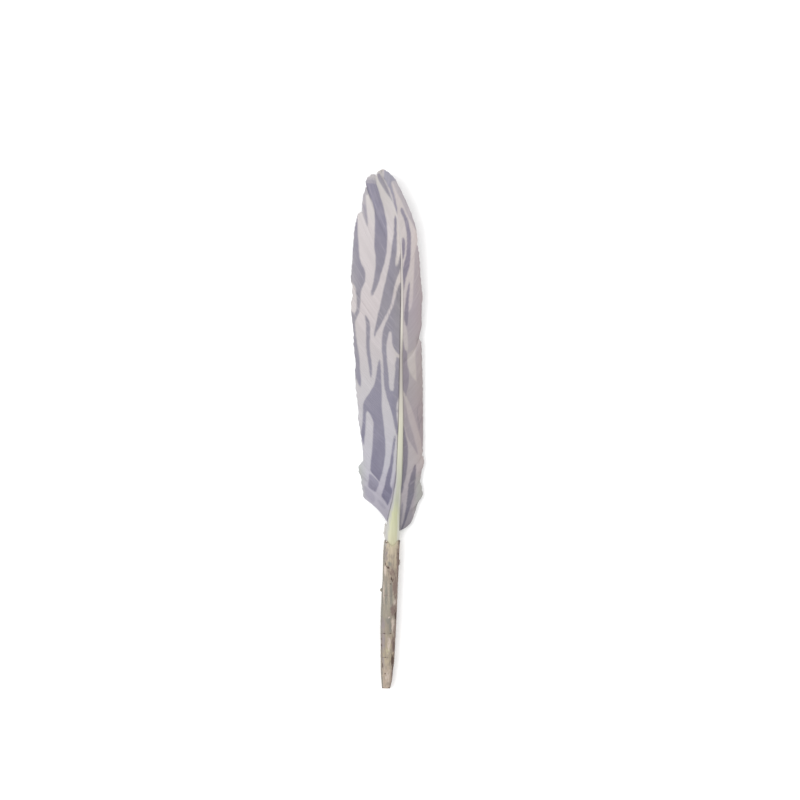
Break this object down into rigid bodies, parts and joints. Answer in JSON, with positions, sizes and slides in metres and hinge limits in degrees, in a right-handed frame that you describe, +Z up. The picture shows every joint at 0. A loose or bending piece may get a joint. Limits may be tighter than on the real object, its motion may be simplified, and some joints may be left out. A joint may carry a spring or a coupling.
{
  "type": "goose quill feather",
  "caption": "Goose wing feather lying flat, with a long bare quill, a wide and a narrow vane and a striped print.",
  "frame": {"origin": "on the surface that the feather lies on, under the middle of the whole feather's box", "axes": "+Y along the feather from the cut quill end to the tip, +X towards the narrow vane, +Z up out of the surface, towards the shaft's grooved underside"},
  "size_m": [0.0228, 0.16, 0.006],
  "materials": {
    "quill_keratin": "horn-like keratin, greenish yellow and satin between the vanes, wrapped in a dull dried sheath on the bare quill",
    "printed_vane": "matt feather barbs, pale pinkish grey with darker lavender-grey zebra stripes printed over them"
  },
  "bodies": {
    "root": {"shaft": "quill_keratin", "left_vane": "printed_vane", "right_vane": "printed_vane"}
  },
  "joints": []
}
